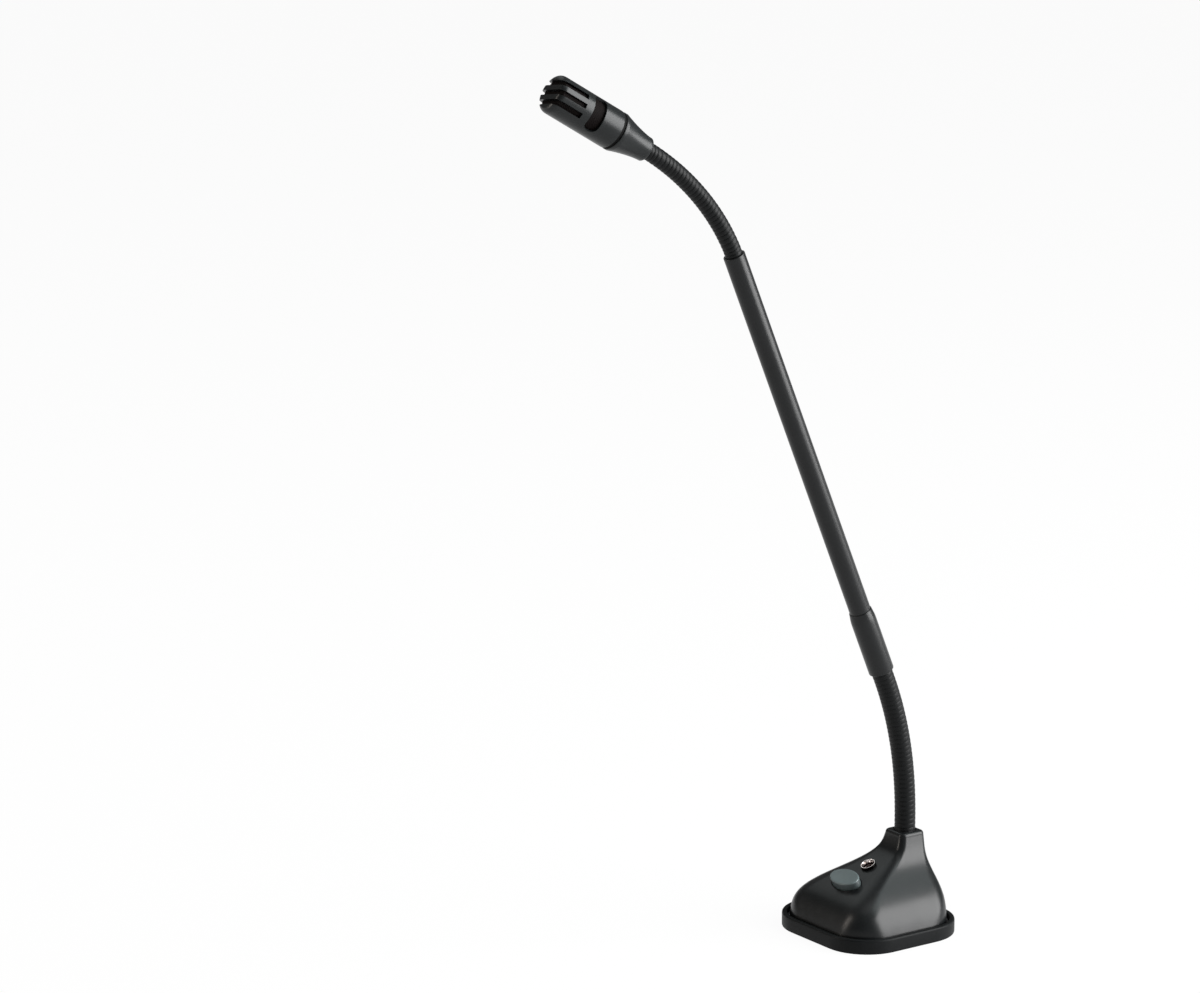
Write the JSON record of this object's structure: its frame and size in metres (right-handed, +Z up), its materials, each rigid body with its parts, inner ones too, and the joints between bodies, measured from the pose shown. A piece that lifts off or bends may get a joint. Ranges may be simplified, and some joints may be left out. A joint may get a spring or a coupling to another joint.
{
  "type": "gooseneck microphone",
  "caption": "Desk microphone with a slotted head on a thin flexible neck, a straight stem, a thicker flexible neck and a weighted foot with a talk button and lamp.",
  "frame": {"origin": "middle of the foot, on the surface that it stands on", "axes": "+Z up, -Y towards the front of the foot, where the talk button is, +X to the right when looking along +Y"},
  "size_m": [0.0682, 0.1933, 0.3945],
  "materials": {
    "tray_rubber": "satin black",
    "shell_black": "satin black",
    "plate_steel": "zinc plated",
    "screw_steel": "plated",
    "insert_brass": "machined",
    "gland_rubber": "matt",
    "board_green": "solder resist",
    "header_white": "moulded",
    "switch_grey": "moulded",
    "plunger_white": "moulded",
    "button_teal": "satin grey-teal",
    "lamp_dark": "dark tinted lens",
    "bezel_bright": "bright",
    "neck_black": "semi-gloss black",
    "stem_black": "satin black",
    "fitting_brass": "turned",
    "head_grey": "dark satin anodised",
    "seam_rubber": "matt",
    "mesh_brown": "dark woven mesh",
    "capsule_silver": "plain",
    "boot_rubber": "matt",
    "cable_black": "matt"
  },
  "bodies": {
    "base": {"base_tray": "tray_rubber", "base_shell": "shell_black", "bottom_plate": "plate_steel", "plate_screws": "screw_steel", "fixing_inserts": "insert_brass", "cable_grommet": "gland_rubber", "switch_board": "board_green", "board_screws": "screw_steel", "cable_header": "header_white", "push_switch": "switch_grey", "indicator_led": "lamp_dark", "led_bezel": "bezel_bright", "neck_set_screw": "screw_steel", "neck_root_ferrule": "plate_steel", "lower_neck_1": "neck_black", "mic_cable": "cable_black"},
    "button": {"talk_button": "button_teal", "switch_plunger": "plunger_white"},
    "lower_link_1": {"lower_neck_2": "neck_black"},
    "lower_link_2": {"lower_neck_3": "neck_black"},
    "lower_link_3": {"lower_neck_4": "neck_black"},
    "lower_link_4": {"lower_neck_5": "neck_black"},
    "lower_link_5": {"lower_neck_6": "neck_black"},
    "lower_link_6": {"lower_neck_7": "neck_black"},
    "lower_link_7": {"lower_neck_8": "neck_black"},
    "stem": {"lower_neck_9": "neck_black", "stem_plug": "fitting_brass", "stem_sleeve": "stem_black", "stem_tube": "stem_black", "stem_bush": "fitting_brass", "upper_neck_1": "neck_black"},
    "upper_link_1": {"upper_neck_2": "neck_black"},
    "upper_link_2": {"upper_neck_3": "neck_black"},
    "upper_link_3": {"upper_neck_4": "neck_black"},
    "upper_link_4": {"upper_neck_5": "neck_black"},
    "upper_link_5": {"upper_neck_6": "neck_black"},
    "upper_link_6": {"upper_neck_7": "neck_black"},
    "upper_link_7": {"upper_neck_8": "neck_black"},
    "head": {"upper_neck_9": "neck_black", "head_ferrule": "fitting_brass", "tail_cone": "head_grey", "seam_ring": "seam_rubber", "grille_cap": "head_grey", "mesh_liner": "mesh_brown", "capsule": "capsule_silver", "capsule_boot": "boot_rubber", "capsule_board": "board_green"}
  },
  "joints": [
    {"name": "talk_button_press", "type": "slide", "parent": "base", "child": "button", "axis": [0, 0.4172, -0.9088], "range_m": [0, 0.0012], "stiffness_N_per_m": 1200, "springref_m": -0.0006},
    {"name": "lower_neck_bend", "type": "hinge", "parent": "base", "child": "lower_link_1", "pos_m": [0, 0.0204, 0.05096], "axis": [0.9925, -0.1219, 0], "range_deg": [-13.5, 9], "deforming": ["mic_cable"]},
    {"name": "lower_neck_sway", "type": "hinge", "parent": "lower_link_1", "child": "lower_link_2", "pos_m": [-0.00004, 0.02011, 0.05951], "axis": [-0.1217, -0.991, -0.0555], "range_deg": [-11.5, 11.5], "deforming": ["mic_cable"]},
    {"name": "lower_neck_bend_2", "type": "hinge", "parent": "lower_link_2", "child": "lower_link_3", "pos_m": [-0.00012, 0.01946, 0.06805], "axis": [0.9925, -0.1219, 0], "range_deg": [-13.5, 9], "deforming": ["mic_cable"]},
    {"name": "lower_neck_sway_2", "type": "hinge", "parent": "lower_link_3", "child": "lower_link_4", "pos_m": [-0.00024, 0.01842, 0.07655], "axis": [-0.1206, -0.982, -0.1454], "range_deg": [-11.5, 11.5], "deforming": ["mic_cable"]},
    {"name": "lower_neck_bend_3", "type": "hinge", "parent": "lower_link_4", "child": "lower_link_5", "pos_m": [-0.00042, 0.01699, 0.08498], "axis": [0.9925, -0.1219, 0], "range_deg": [-13.5, 9], "deforming": ["mic_cable"]},
    {"name": "lower_neck_sway_3", "type": "hinge", "parent": "lower_link_5", "child": "lower_link_6", "pos_m": [-0.00065, 0.01514, 0.09334], "axis": [-0.1182, -0.9629, -0.2427], "range_deg": [-11.5, 11.5], "deforming": ["mic_cable"]},
    {"name": "lower_neck_bend_4", "type": "hinge", "parent": "lower_link_6", "child": "lower_link_7", "pos_m": [-0.00093, 0.01286, 0.10158], "axis": [0.9925, -0.1219, 0], "range_deg": [-13.5, 9], "deforming": ["mic_cable"]},
    {"name": "lower_neck_sway_4", "type": "hinge", "parent": "lower_link_7", "child": "stem", "pos_m": [-0.00126, 0.01016, 0.1097], "axis": [-0.1145, -0.9323, -0.343], "range_deg": [-11.5, 11.5], "deforming": ["mic_cable"]},
    {"name": "upper_neck_bend", "type": "hinge", "parent": "stem", "child": "upper_link_1", "pos_m": [-0.01118, -0.07066, 0.31537], "axis": [0.9925, -0.1219, 0], "range_deg": [-19, 8], "deforming": ["mic_cable"]},
    {"name": "upper_neck_sway", "type": "hinge", "parent": "upper_link_1", "child": "upper_link_2", "pos_m": [-0.01165, -0.0745, 0.32269], "axis": [-0.1051, -0.8558, -0.5065], "range_deg": [-14.5, 14.5], "deforming": ["mic_cable"]},
    {"name": "upper_neck_bend_2", "type": "hinge", "parent": "upper_link_2", "child": "upper_link_3", "pos_m": [-0.0122, -0.07898, 0.32963], "axis": [0.9925, -0.1219, 0], "range_deg": [-19, 8], "deforming": ["mic_cable"]},
    {"name": "upper_neck_sway_2", "type": "hinge", "parent": "upper_link_3", "child": "upper_link_4", "pos_m": [-0.01282, -0.08399, 0.33619], "axis": [-0.0936, -0.762, -0.6408], "range_deg": [-14.5, 14.5], "deforming": ["mic_cable"]},
    {"name": "upper_neck_bend_3", "type": "hinge", "parent": "upper_link_4", "child": "upper_link_5", "pos_m": [-0.01349, -0.0895, 0.34234], "axis": [0.9925, -0.1219, 0], "range_deg": [-19, 8], "deforming": ["mic_cable"]},
    {"name": "upper_neck_sway_3", "type": "hinge", "parent": "upper_link_5", "child": "upper_link_6", "pos_m": [-0.01422, -0.09545, 0.34805], "axis": [-0.0809, -0.6587, -0.748], "range_deg": [-14.5, 14.5], "deforming": ["mic_cable"]},
    {"name": "upper_neck_bend_4", "type": "hinge", "parent": "upper_link_6", "child": "upper_link_7", "pos_m": [-0.015, -0.10179, 0.35332], "axis": [0.9925, -0.1219, 0], "range_deg": [-19, 8], "deforming": ["mic_cable"]},
    {"name": "upper_neck_sway_4", "type": "hinge", "parent": "upper_link_7", "child": "head", "pos_m": [-0.01582, -0.10848, 0.35812], "axis": [-0.0672, -0.5475, -0.8341], "range_deg": [-14.5, 14.5], "deforming": ["mic_cable"]}
  ],
  "couplings": [
    {"joint": "lower_neck_bend_2", "follows": "lower_neck_bend", "ratio": 1},
    {"joint": "lower_neck_sway_2", "follows": "lower_neck_sway", "ratio": 1},
    {"joint": "lower_neck_bend_3", "follows": "lower_neck_bend", "ratio": 1},
    {"joint": "lower_neck_sway_3", "follows": "lower_neck_sway", "ratio": 1},
    {"joint": "lower_neck_bend_4", "follows": "lower_neck_bend", "ratio": 1},
    {"joint": "lower_neck_sway_4", "follows": "lower_neck_sway", "ratio": 1},
    {"joint": "upper_neck_bend_2", "follows": "upper_neck_bend", "ratio": 1},
    {"joint": "upper_neck_sway_2", "follows": "upper_neck_sway", "ratio": 1},
    {"joint": "upper_neck_bend_3", "follows": "upper_neck_bend", "ratio": 1},
    {"joint": "upper_neck_sway_3", "follows": "upper_neck_sway", "ratio": 1},
    {"joint": "upper_neck_bend_4", "follows": "upper_neck_bend", "ratio": 1},
    {"joint": "upper_neck_sway_4", "follows": "upper_neck_sway", "ratio": 1}
  ]
}
